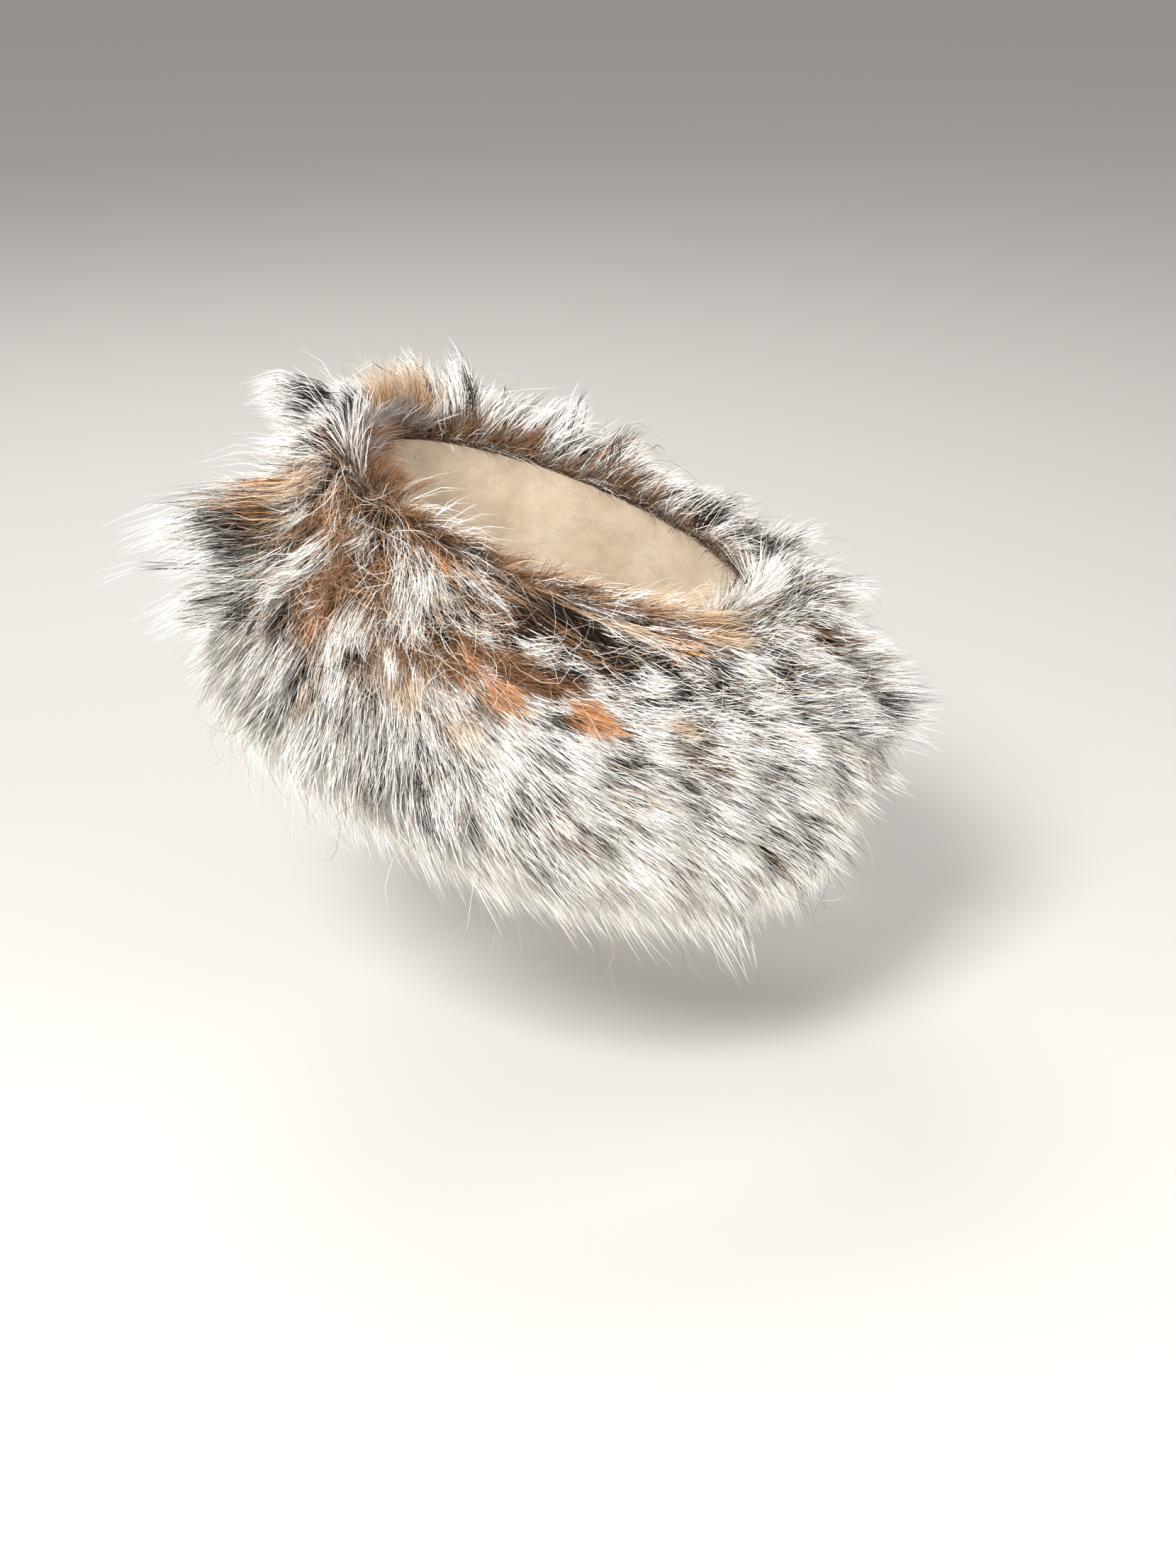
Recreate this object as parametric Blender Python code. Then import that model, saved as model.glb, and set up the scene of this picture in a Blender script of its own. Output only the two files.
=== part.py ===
"""A fur headband: a ring of hide round the head, with its long pile outward.

Metres, +Z up. The origin is the middle of the head opening, the front is at -X and the nape at +X.
"""

import math
import random

import bmesh
import bpy
from mathutils import Vector

# Head opening and hide
HEAD_LENGTH = 0.198
HEAD_WIDTH = 0.158
FRONT_TILT = 21.0  # degrees by which the front edge sits higher than the nape
SIDE_TILT = 4.0  # degrees by which the +Y edge sits higher than the -Y edge
HIDE_THICKNESS = 0.0025
HIDE_HEIGHT = 0.112

# Pile
HAIR_LENGTH = 0.085
PILE_GAP = 0.0003  # between the pile and the hide
LOCK_LENGTH = 0.050
LOCK_WIDTH = 0.034
LOCK_THICKNESS = 0.015
LOCK_ROOT = 0.35  # share of the way from the ring of pile's surface to the hide
LOCK_RELIEF = 0.012  # how far the locks stand above the ring of pile
LOCK_BELLY = 0.45  # height off the pile at mid-length, as a share of the tip's
LOCK_SWAY = 3.5  # how far round the band a lock's tip may lean, in degrees of azimuth
LOCK_SEED = 12

# Facets
COLUMNS = 40
HIDE_ROWS = 3
LOCK_SIDES = 5

# The band at each azimuth, in degrees from +X towards +Y. flare is the hide's lean in
# degrees. top, middle and bottom are the pile's depth there, rise its height above the hide
# and hang its length below it, as shares of HAIR_LENGTH. crest and lift are the angles in
# degrees at which the locks stand off the pile, over the hide's top edge and below it.
SECTION_COLUMNS = (
    "azimuth", "flare", "top", "middle", "bottom", "rise", "hang", "crest", "lift",
)
SECTIONS = (
    (0, 13, 0.60, 0.86, 0.50, 0.26, 0.22, 30, 28),
    (45, 14, 0.44, 0.66, 0.56, 0.32, 0.22, 40, 26),
    (90, 15, 0.42, 0.64, 0.64, 0.46, 0.26, 50, 26),
    (135, 16, 0.44, 0.68, 0.68, 0.46, 0.26, 50, 26),
    (180, 18, 0.42, 0.76, 0.72, 0.28, 0.22, 30, 22),
    (225, 16, 0.36, 0.68, 0.66, 0.16, 0.20, 18, 19),
    (270, 13, 0.32, 0.60, 0.62, 0.12, 0.28, 14, 18),
    (315, 13, 0.38, 0.66, 0.58, 0.14, 0.24, 18, 20),
)

# The pile's outline in a section, from the head opening over the top and down to its hem,
# the lowest row, then back under. out is a share of the depth that the first column names,
# rise and hang are shares of the section's own, and down is a share of the hide's height.
OUTLINE_COLUMNS = ("depth", "out", "rise", "down", "hang")
OUTLINE = (
    ("top", 0.06, 0.7, 0.00, 0.0),
    ("top", 0.45, 1.0, 0.00, 0.0),
    ("top", 0.90, 0.7, 0.00, 0.0),
    ("top", 1.20, 0.0, 0.10, 0.0),
    ("middle", 0.94, 0.0, 0.30, 0.0),
    ("middle", 1.00, 0.0, 0.52, 0.0),
    ("bottom", 1.00, 0.0, 0.76, 0.0),
    ("bottom", 0.96, 0.0, 1.00, 0.0),
    ("bottom", 0.78, 0.0, 1.00, 0.6),
    ("bottom", 0.50, 0.0, 1.00, 1.0),
    ("bottom", 0.22, 0.0, 1.00, 0.7),
)
HEM = max(range(len(OUTLINE)), key=lambda row: OUTLINE[row][-1])  # the lowest row

# Rows of locks: the row's share of the way from the head opening to the hem, its count, and
# which of the section's two angles its locks stand at.
LOCK_ROWS = (
    (0.03, 16, "crest"),
    (0.15, 20, "crest"),
    (0.28, 22, "crest"),
    (0.41, 24, "lift"),
    (0.54, 24, "lift"),
    (0.67, 24, "lift"),
    (0.80, 26, "lift"),
)

# Tufts that stand out: azimuth, share of the way to the hem, length over a lock's, and the
# angle off the pile in degrees.
TUFTS = (
    (194, 0.24, 1.70, 48),
    (202, 0.35, 1.35, 44),
    (160, 0.13, 1.35, 50),
    (309, 0.86, 1.25, 20),
    (358, 0.35, 1.10, 38),
    (349, 0.56, 1.15, 35),
)

# A lock from root to tip: share of its length, and share of its full width.
LOCK_TAPER = ((0.0, 0.40), (0.32, 1.0), (0.68, 0.72))


def section_at(azimuth):
    """The named values of SECTIONS at an azimuth in degrees, on a smooth closed curve."""
    step = 360 / len(SECTIONS)
    index = int(azimuth // step)
    t = azimuth / step - index
    rows = [SECTIONS[(index + k) % len(SECTIONS)] for k in (-1, 0, 1, 2)]
    weights = (
        (-t + 2 * t**2 - t**3) / 2,
        (2 - 5 * t**2 + 3 * t**3) / 2,
        (t + 4 * t**2 - 3 * t**3) / 2,
        (-(t**2) + t**3) / 2,
    )
    mixed = (sum(w * row[c] for w, row in zip(weights, rows)) for c in range(1, len(SECTION_COLUMNS)))
    return dict(zip(SECTION_COLUMNS[1:], mixed))


class Section:
    """The band's cross-section at one azimuth: the places of hide and pile in it."""

    def __init__(self, azimuth):
        angle = math.radians(azimuth)
        half_length, half_width = HEAD_LENGTH / 2, HEAD_WIDTH / 2
        x, y = half_length * math.cos(angle), half_width * math.sin(angle)
        self.values = section_at(azimuth % 360)
        rise = y * math.tan(math.radians(SIDE_TILT)) - x * math.tan(math.radians(FRONT_TILT))
        self.top = Vector((x, y, rise))
        self.out = Vector((x / half_length**2, y / half_width**2, 0)).normalized()
        self.round = Vector((0, 0, 1)).cross(self.out)
        flare = math.radians(self.values["flare"])
        self.down = self.out * math.sin(flare) - Vector((0, 0, math.cos(flare)))
        self.across = self.out * math.cos(flare) + Vector((0, 0, math.sin(flare)))

    def hide(self, across, down):
        """A point of the hide: its distance from the inner face and from the top edge."""
        return self.top + self.across * across + self.down * down

    def outline(self):
        """The outer surface of the ring of pile, over the top, down to the hem and back under."""
        points = []
        for shape in (dict(zip(OUTLINE_COLUMNS, row)) for row in OUTLINE):
            depth = self.values[shape["depth"]] * HAIR_LENGTH - LOCK_RELIEF
            up = self.values["rise"] * shape["rise"] - self.values["hang"] * shape["hang"]
            point = self.top + self.down * HIDE_HEIGHT * shape["down"]
            points.append(point + self.out * depth * shape["out"] + Vector((0, 0, up * HAIR_LENGTH)))
        return points

    def outline_to_hem(self):
        """The part of the outline that carries locks."""
        return self.outline()[: HEM + 1]


def length_of(points):
    """The length of a polyline."""
    return sum((b - a).length for a, b in zip(points, points[1:]))


def along(points, share):
    """The point at a share of a polyline's length, and the direction there."""
    left = share * length_of(points)
    for a, b in zip(points, points[1:]):
        length = (b - a).length
        if left <= length:
            break
        left -= length
    return a.lerp(b, min(left / length, 1)), (b - a).normalized()


def on_pile(azimuth, share, height):
    """A point off the ring of pile, a share of the way to the hem. Past it, hair hangs down."""
    section = Section(azimuth)
    line = section.outline_to_hem()
    place, flow = along(line, min(share, 1))
    normal = flow.cross(section.round).normalized()
    return place + normal * height - Vector((0, 0, max(share - 1, 0) * length_of(line)))


def loft(mesh, rings, closed):
    """Faces between rings of points. An open loft has its two end rings capped."""
    rows = [[mesh.verts.new(point) for point in ring] for ring in rings]
    pairs = list(zip(rows, rows[1:] + rows[:1])) if closed else list(zip(rows, rows[1:]))
    for first, second in pairs:
        for k in range(len(first)):
            after = (k + 1) % len(first)
            mesh.faces.new((first[k], first[after], second[after], second[k]))
    if not closed:
        mesh.faces.new(rows[0])
        mesh.faces.new(rows[-1])
    return rows


def add_object(name, mesh, collection, material=None):
    """Makes a bmesh a named object with its faces pointing out."""
    bmesh.ops.recalc_face_normals(mesh, faces=mesh.faces)
    data = bpy.data.meshes.new(name)
    mesh.to_mesh(data)
    mesh.free()
    if material:
        data.materials.append(material)
    obj = bpy.data.objects.new(name, data)
    collection.objects.link(obj)
    return obj


def add_helper(name, mesh, collection):
    """An object that shapes another and isn't part of the headband."""
    obj = add_object(name, mesh, collection)
    obj.hide_render = True
    obj.display_type = "WIRE"
    return obj


def make_material(name, colour, roughness):
    """A plain Principled material."""
    material = bpy.data.materials.new(name)
    material.use_nodes = True
    shader = material.node_tree.nodes["Principled BSDF"]
    shader.inputs["Base Color"].default_value = (*colour, 1)
    shader.inputs["Roughness"].default_value = roughness
    shader.inputs["Metallic"].default_value = 0
    return material


def sections():
    """The band's cross-sections, one for each column of facets."""
    return [Section(360 * k / COLUMNS) for k in range(COLUMNS)]


def make_hide(collection):
    """The hide, a flared wall closed into a ring."""
    mesh = bmesh.new()
    downs = [HIDE_HEIGHT * k / HIDE_ROWS for k in range(HIDE_ROWS + 1)]
    rings = []
    for section in sections():
        outer = [section.hide(HIDE_THICKNESS, down) for down in downs]
        inner = [section.hide(0, down) for down in reversed(downs)]
        rings.append(outer + inner)
    loft(mesh, rings, closed=True)
    leather = make_material("Hide", (0.62, 0.52, 0.40), 0.85)
    return add_object("pelt_band", mesh, collection, leather)


def make_pile_ring(collection, material):
    """The ring of pile that the locks stand on, fitted over the hide's top edge and outer face."""
    mesh = bmesh.new()
    seat = HIDE_THICKNESS + PILE_GAP
    downs = [HIDE_HEIGHT * k / HIDE_ROWS for k in range(HIDE_ROWS, 0, -1)]
    rings = []
    for section in sections():
        inner = [section.hide(seat, down) for down in downs]
        over = [section.hide(seat, -PILE_GAP), section.hide(0, -PILE_GAP)]
        rings.append(section.outline() + inner + over)
    loft(mesh, rings, closed=True)
    return add_object("fur", mesh, collection, material)


def lock_places():
    """Azimuth, share of the way to the hem, length and lift of each lock, then of each tuft."""
    chance = random.Random(LOCK_SEED)
    for row, (share, count, angle) in enumerate(LOCK_ROWS):
        for k in range(count):
            azimuth = 360 * (k + 0.5 * (row % 2) + chance.uniform(-0.22, 0.22)) / count
            lift = section_at(azimuth % 360)[angle]
            yield azimuth, share + chance.uniform(-0.02, 0.02), chance.uniform(0.85, 1.15), lift
    yield from TUFTS


def make_lock(collection, number, planned, sway):
    """One tapered lock, rooted in the pile and lying over it to its tip."""
    azimuth, share, length, lift = planned
    section = Section(azimuth)
    reach = LOCK_LENGTH * length
    height = reach * math.sin(math.radians(lift))
    run = reach * math.cos(math.radians(lift)) / length_of(section.outline_to_hem())
    start = on_pile(azimuth, share, 0)
    level = min(max(section.top.z - start.z, 0), HIDE_HEIGHT)
    root = start.lerp(section.hide(HIDE_THICKNESS, level), LOCK_ROOT)
    middle = on_pile(azimuth + sway / 2, share + run / 2, height * LOCK_BELLY)
    tip = on_pile(azimuth + sway, share + run, height)

    mesh = bmesh.new()
    rings = []
    for t, width in LOCK_TAPER:
        near, far = root.lerp(middle, t), middle.lerp(tip, t)
        thick = section.round.cross(far - near).normalized()
        side = (far - near).normalized().cross(thick)
        ring = []
        for k in range(LOCK_SIDES):
            turn = 2 * math.pi * k / LOCK_SIDES
            wide = side * LOCK_WIDTH / 2 * math.cos(turn)
            deep = thick * LOCK_THICKNESS / 2 * math.sin(turn)
            ring.append(near.lerp(far, t) + (wide + deep) * width)
        rings.append(ring)
    last = loft(mesh, rings, closed=False)[-1]
    cap = [face for face in mesh.faces if set(face.verts) == set(last)]
    bmesh.ops.poke(mesh, faces=cap)["verts"][0].co = tip
    add_helper(f"lock_{number:03d}", mesh, collection)


def main():
    """Builds the headband."""
    for obj in list(bpy.data.objects):
        bpy.data.objects.remove(obj)
    part = bpy.data.collections.new("Fur headband")
    locks = bpy.data.collections.new("Locks before fusing")
    for collection in (part, locks):
        bpy.context.scene.collection.children.link(collection)
    make_hide(part)
    pile = make_material("Pile", (0.42, 0.38, 0.34), 0.9)
    fur = make_pile_ring(part, pile)
    chance = random.Random(LOCK_SEED + 1)
    for number, planned in enumerate(lock_places()):
        make_lock(locks, number, planned, chance.uniform(-LOCK_SWAY, LOCK_SWAY))
    fuse = fur.modifiers.new("Fuse locks", "BOOLEAN")
    fuse.operation = "UNION"
    fuse.operand_type = "COLLECTION"
    fuse.collection = locks


main()
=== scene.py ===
"""Looks of a fur headband: hide, underfur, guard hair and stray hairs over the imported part."""

import math
import random

import bpy
import numpy as np
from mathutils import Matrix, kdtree


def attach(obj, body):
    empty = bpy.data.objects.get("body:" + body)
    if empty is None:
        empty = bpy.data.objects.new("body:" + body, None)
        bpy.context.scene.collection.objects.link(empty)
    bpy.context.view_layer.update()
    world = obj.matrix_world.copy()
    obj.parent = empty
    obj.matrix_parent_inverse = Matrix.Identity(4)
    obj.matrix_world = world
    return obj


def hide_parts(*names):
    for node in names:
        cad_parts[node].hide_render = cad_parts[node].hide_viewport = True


bl_info = {
    "name": "Fur headband",
    "version": (1, 0, 0),
    "blender": (4, 5, 0),
    "location": "3D View > Sidebar > Headband",
    "description": "Dresses the packed fur headband in hide, underfur, guard hair and stray hairs",
    "category": "Object",
}

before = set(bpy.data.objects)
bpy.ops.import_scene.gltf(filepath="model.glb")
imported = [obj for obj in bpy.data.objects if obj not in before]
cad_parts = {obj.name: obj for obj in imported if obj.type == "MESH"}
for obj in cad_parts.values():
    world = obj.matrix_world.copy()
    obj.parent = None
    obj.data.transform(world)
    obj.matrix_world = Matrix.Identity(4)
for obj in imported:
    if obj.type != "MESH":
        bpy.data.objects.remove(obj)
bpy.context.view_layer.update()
BAKE_MAP = "OFBake"
HAIR_MATERIAL = "Coyote hair"

# The band, in metres and degrees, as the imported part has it
HEAD_LENGTH = 0.198
HEAD_WIDTH = 0.158
FRONT_TILT = 21.0
SIDE_TILT = 4.0
HIDE_THICKNESS = 0.0025
HIDE_HEIGHT = 0.112
HAIR_LENGTH = 0.085
LOCK_LENGTH = 0.050
LOCK_WIDTH = 0.034
LOCK_RELIEF = 0.012
LOCK_SWAY = 3.5
LOCK_SEED = 12

# The band at each azimuth, in degrees from +X towards +Y: the hide's flare, then the pile's
# depth at its top, middle and bottom, its rise over the hide and its hang below, as shares of
# HAIR_LENGTH, then the angles at which locks stand off the pile at the crest and below it.
SECTION_COLUMNS = (
    "azimuth", "flare", "top", "middle", "bottom", "rise", "hang", "crest", "lift",
)
SECTIONS = (
    (0, 13, 0.60, 0.86, 0.50, 0.26, 0.22, 30, 28),
    (45, 14, 0.44, 0.66, 0.56, 0.32, 0.22, 40, 26),
    (90, 15, 0.42, 0.64, 0.64, 0.46, 0.26, 50, 26),
    (135, 16, 0.44, 0.68, 0.68, 0.46, 0.26, 50, 26),
    (180, 18, 0.42, 0.76, 0.72, 0.28, 0.22, 30, 22),
    (225, 16, 0.36, 0.68, 0.66, 0.16, 0.20, 18, 19),
    (270, 13, 0.32, 0.60, 0.62, 0.12, 0.28, 14, 18),
    (315, 13, 0.38, 0.66, 0.58, 0.14, 0.24, 18, 20),
)

# The pile's outline in a section, from the head opening over the top and down to its hem.
OUTLINE_COLUMNS = ("depth", "out", "rise", "down", "hang")
OUTLINE = (
    ("top", 0.06, 0.7, 0.00, 0.0),
    ("top", 0.45, 1.0, 0.00, 0.0),
    ("top", 0.90, 0.7, 0.00, 0.0),
    ("top", 1.20, 0.0, 0.10, 0.0),
    ("middle", 0.94, 0.0, 0.30, 0.0),
    ("middle", 1.00, 0.0, 0.52, 0.0),
    ("bottom", 1.00, 0.0, 0.76, 0.0),
    ("bottom", 0.96, 0.0, 1.00, 0.0),
    ("bottom", 0.78, 0.0, 1.00, 0.6),
    ("bottom", 0.50, 0.0, 1.00, 1.0),
)

# Rows of locks and the tufts that stand out of them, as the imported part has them.
LOCK_ROWS = (
    (0.03, 16, "crest"),
    (0.15, 20, "crest"),
    (0.28, 22, "crest"),
    (0.41, 24, "lift"),
    (0.54, 24, "lift"),
    (0.67, 24, "lift"),
    (0.80, 26, "lift"),
)
TUFTS = (
    (194, 0.24, 1.70, 48),
    (202, 0.35, 1.35, 44),
    (160, 0.13, 1.35, 50),
    (309, 0.86, 1.25, 20),
    (358, 0.35, 1.10, 38),
    (349, 0.56, 1.15, 35),
)

# Square metres of pile over which the coat's spots are strewn
COAT_AREA = 0.16

# The share of the way to the hem at which the tips of clumps start, and how far on they reach
COAT_START = 0.10
COAT_REACH = 1.02

# The share of a clump's hairs that are all of one kind
CLUMP_LIKENESS = 0.85

# How far back from its tip a hair is mostly seen, as a share of its length
SEEN_BACK = 0.15

# How the coat lies and how far down the dark saddle reaches, at each azimuth. lean is the
# angle in degrees by which hair turns off straight down, towards a greater azimuth.
COAT_COLUMNS = ("azimuth", "lean", "saddle")
COAT = (
    (0, 4, 0.02),
    (45, -52, -0.04),
    (90, -62, -0.02),
    (135, 12, 0.06),
    (180, 26, 0.30),
    (225, 28, 0.46),
    (270, 78, 0.43),
    (315, 68, 0.12),
)

# Hair kinds: where along a hair each colour of the palette sits. The dark roots are partly each hair's own
# colour and partly painted shade, which darkens the deep pile between the hairs where shade falls.
HAIRS = (
    ("ash", ((0.0, "grey_root_and_painted_shade"), (0.5, "ash"), (1.0, "fog"))),
    ("white", ((0.0, "grey_root_and_painted_shade"), (0.60, "grey_root_and_painted_shade"), (0.70, "snow"), (1.0, "snow"))),
    ("silver", (
        (0.0, "grey_root_and_painted_shade"), (0.60, "grey_root_and_painted_shade"), (0.68, "snow"), (0.86, "snow"), (0.93, "soot"), (1.0, "soot"),
    )),
    ("black", ((0.0, "brown_root_and_painted_shade"), (0.4, "soot"), (1.0, "soot"))),
    ("frost", ((0.0, "brown_root_and_painted_shade"), (0.50, "soot"), (0.60, "snow"), (1.0, "snow"))),
    ("brown", ((0.0, "brown_root_and_painted_shade"), (0.5, "bark"), (0.92, "bark"), (1.0, "tan"))),
    ("tan", ((0.0, "bark"), (0.45, "tan"), (1.0, "cream"))),
    ("rust", ((0.0, "brown_root_and_painted_shade"), (0.4, "rust"), (0.85, "rust"), (1.0, "tan"))),
    ("silk", ((0.0, "brown_root_and_painted_shade"), (0.12, "fog"), (0.30, "snow"), (1.0, "snow"))),
)
KINDS = [name for name, stops in HAIRS]

# What share of the hair each kind makes in a zone of the coat, in the order of HAIRS.
MIXES = {
    "flank": (0.04, 0.46, 0.26, 0.18, 0.02, 0.02, 0.02, 0.00, 0.00),
    "saddle": (0.02, 0.02, 0.05, 0.20, 0.24, 0.34, 0.09, 0.04, 0.00),
    # The hem's mix is partly the hem's own paler hair and partly painted light: extra white hair that lifts
    # the shade on the lower edge.
    "hem": (0.02, 0.42, 0.04, 0.01, 0.00, 0.00, 0.01, 0.00, 0.50),
}

# Patches of one colour: kind, azimuth, share, half their width in degrees, half their height
# as a share, and how much of the hair there is of that kind. Later rows cover earlier ones.
PATCHES = (
    ("white", 335, 0.4, 30.0, 0.45, 0.3),
    ("silk", 85, 0.04, 55.0, 0.12, 0.85),
    ("brown", 214, 0.3, 9.0, 0.17, 0.8),
    ("tan", 192, 0.26, 9.0, 0.13, 0.85),
    ("rust", 193, 0.37, 3.0, 0.04, 0.7),
    ("rust", 205, 0.17, 2.5, 0.05, 0.9),
    ("rust", 212, 0.25, 2.5, 0.05, 0.9),
    ("rust", 222, 0.43, 2.5, 0.06, 0.9),
    ("frost", 218, 0.14, 1.8, 0.045, 0.9),
    ("frost", 225, 0.17, 2.0, 0.04, 0.9),
    ("frost", 199, 0.3, 2.6, 0.06, 0.95),
    ("frost", 208, 0.43, 5.0, 0.07, 0.95),
    ("frost", 213, 0.35, 2.4, 0.05, 0.95),
    ("brown", 230, 0.26, 4.0, 0.1, 0.9),
    ("rust", 245, 0.12, 4.0, 0.03, 0.9),
    ("rust", 259, 0.07, 5.0, 0.025, 0.8),
    ("brown", 247, 0.38, 9.0, 0.045, 0.95),
    ("brown", 268, 0.32, 10.0, 0.045, 0.95),
    ("black", 264, 0.1, 4.0, 0.02, 0.9),
    ("black", 288, 0.26, 4.5, 0.035, 0.9),
    ("frost", 237, 0.21, 7.0, 0.052, 0.9),
    ("frost", 254, 0.16, 7.0, 0.036, 0.9),
    ("frost", 253, 0.24, 7.0, 0.045, 0.9),
    ("frost", 239, 0.33, 5.0, 0.045, 0.9),
    ("frost", 229, 0.42, 5.0, 0.06, 0.9),
    ("frost", 268, 0.22, 6.5, 0.045, 0.9),
    ("frost", 280, 0.28, 6.0, 0.045, 0.9),
    ("frost", 293, 0.27, 6.5, 0.05, 0.9),
    ("frost", 295, 0.06, 7.0, 0.025, 0.95),
    ("black", 226, 0.15, 2.0, 0.06, 0.9),
    ("black", 236, 0.36, 3.0, 0.025, 0.9),
    ("black", 247, 0.29, 4.5, 0.048, 1.0),
    ("black", 250, 0.19, 5.0, 0.026, 0.95),
    ("black", 265, 0.19, 5.5, 0.024, 0.95),
    ("black", 269, 0.14, 7.0, 0.024, 0.95),
    ("black", 280, 0.15, 6.0, 0.05, 1.0),
    ("black", 285, 0.21, 4.5, 0.04, 0.95),
    ("black", 275, 0.28, 4.0, 0.03, 0.95),
    ("black", 209, 0.35, 1.6, 0.08, 0.85),
    ("black", 214, 0.46, 1.8, 0.05, 0.85),
    ("black", 232, 0.47, 2.5, 0.035, 0.8),
    ("frost", 233, 0.24, 2.6, 0.05, 1.0),
    ("frost", 241, 0.27, 3.6, 0.045, 1.0),
    ("frost", 257, 0.15, 5.5, 0.026, 1.0),
    ("frost", 258, 0.215, 5.5, 0.026, 1.0),
    ("frost", 272, 0.235, 6.0, 0.028, 1.0),
    ("frost", 286, 0.125, 3.5, 0.022, 0.95),
    ("brown", 233, 0.28, 2.0, 0.03, 1.0),
    ("rust", 261, 0.4, 5.0, 0.05, 1.0),
    ("rust", 279, 0.39, 5.0, 0.05, 1.0),
    ("black", 274, 0.42, 2.0, 0.025, 0.8),
    ("tan", 283, 0.1, 5.0, 0.025, 0.9),
    ("tan", 295, 0.13, 6.0, 0.03, 0.9),
    ("tan", 318, 0.15, 9.0, 0.045, 0.9),
    ("tan", 301, 0.38, 3.0, 0.03, 0.9),
    ("brown", 114, 0.03, 8.0, 0.04, 0.7),
    ("tan", 67, 0.04, 5.0, 0.06, 0.8),
    ("tan", 143, 0.14, 5.0, 0.14, 0.9),
    ("white", 165, 0.12, 14.0, 0.14, 0.8),
    ("white", 197, 0.54, 9.0, 0.13, 0.95),
    ("white", 309, 0.75, 5.0, 0.07, 0.85),
    ("silver", 312, 1.02, 4.0, 0.07, 0.8),
    ("white", 162, 0.32, 12.0, 0.18, 0.94),
)

# Wisps along the hide's top edge: kind, the azimuths between which they grow, their number,
# the hairs in each, their length, and their direction: out of the band, round it and up.
WISPS = (
    ("brown", 150, 218, 70, 30, 0.030, -0.60, 0.20, 0.55),
    ("ash", 135, 200, 40, 30, 0.034, -0.40, -0.30, 0.70),
    ("silk", 135, 205, 40, 8, 0.038, -0.10, -0.20, 0.80),
    ("tan", 132, 150, 20, 30, 0.048, 0.15, 0.10, 1.00),
    ("silk", 150, 200, 16, 3, 0.075, 0.85, -0.10, 0.45),
    ("silk", 210, 236, 9, 3, 0.044, -0.80, 0.50, 0.30),
    ("silk", 226, 240, 9, 7, 0.040, -0.12, 0.98, 0.06),
    ("black", 226, 244, 12, 10, 0.036, -0.12, 0.95, 0.10),
    ("brown", 218, 290, 110, 20, 0.026, -0.14, 0.90, 0.18),
    ("tan", 218, 300, 34, 8, 0.030, -0.16, 0.90, 0.22),
    ("silk", 262, 318, 60, 8, 0.036, -0.06, 0.98, 0.08),
    ("black", 262, 310, 40, 8, 0.032, -0.06, 0.98, 0.08),
    ("tan", 285, 330, 34, 18, 0.040, 0.05, 0.95, 0.15),
    ("silk", 318, 358, 70, 12, 0.044, 0.35, 0.10, 0.85),
    ("black", 318, 358, 30, 9, 0.040, 0.35, 0.10, 0.80),
    ("brown", 62, 80, 16, 14, 0.028, 0.10, -0.50, 0.70),
    ("brown", 98, 128, 30, 14, 0.028, 0.10, -0.50, 0.70),
    ("silk", 20, 130, 70, 12, 0.040, 0.45, -0.75, 0.35),
)


class Value:
    """A number that a shader works out. Each operation on it adds a Math node."""

    def __init__(self, finish, socket):
        self.finish = finish
        self.socket = socket

    def _math(self, operation, *values):
        return self.finish.value("ShaderNodeMath", {"operation": operation}, *values)

    def __add__(self, other):
        return self._math("ADD", self, other)

    def __mul__(self, other):
        return self._math("MULTIPLY", self, other)

    def __gt__(self, other):
        return self._math("GREATER_THAN", self, other)

    __radd__ = __add__
    __rmul__ = __mul__

    def fraction(self):
        """What is left over whole numbers."""
        return self._math("FRACT", self)


class Finish:
    """A material and its nodes, ending in a Principled shader."""

    def __init__(self, name):
        self.material = bpy.data.materials.new(name)
        self.material.use_nodes = True
        self.tree = self.material.node_tree
        self.shader = self.tree.nodes["Principled BSDF"]

    def node(self, kind, settings=None, *values, **named):
        """Adds a node: its type, its settings, and its sockets' values or links."""
        node = self.tree.nodes.new(kind)
        for key, setting in (settings or {}).items():
            if key == "stops":
                self.set_stops(node.color_ramp, setting)
            else:
                setattr(node, key, setting)
        for key, value in [*enumerate(values), *named.items()]:
            if value is not None:
                socket = key.replace("_", " ") if isinstance(key, str) else key
                self.feed(node.inputs[socket], value)
        return node

    def value(self, kind, settings=None, *values, output=0, **named):
        """A node's output, for expressions."""
        return Value(self, self.node(kind, settings, *values, **named).outputs[output])

    def feed(self, socket, value):
        """Links a value to a socket, or sets it."""
        if isinstance(value, Value):
            self.tree.links.new(value.socket, socket)
        elif isinstance(value, (tuple, list)) and socket.type == "RGBA":
            socket.default_value = (*value[:3], 1)
        else:
            socket.default_value = value

    def set_stops(self, ramp, stops):
        """Gives a colour ramp its stops."""
        while len(ramp.elements) < len(stops):
            ramp.elements.new(1.0)
        for element, (position, colour) in zip(ramp.elements, stops):
            element.position = position
            element.color = (*colour, 1)

    def blend(self, share, first, second):
        """Mixes two colours."""
        skipped = (None,) * 5
        return self.value("ShaderNodeMix", {"data_type": "RGBA"}, share, *skipped, first, second, output=2)

    def scaled(self, colour, factor):
        """A colour made lighter or darker."""
        return self.value("ShaderNodeVectorMath", {"operation": "SCALE"}, colour, Scale=factor)

    def surface(self, **sockets):
        """Feeds the shader's sockets and returns the material."""
        for key, value in sockets.items():
            self.feed(self.shader.inputs[key.replace("_", " ")], value)
        return self.material


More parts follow.
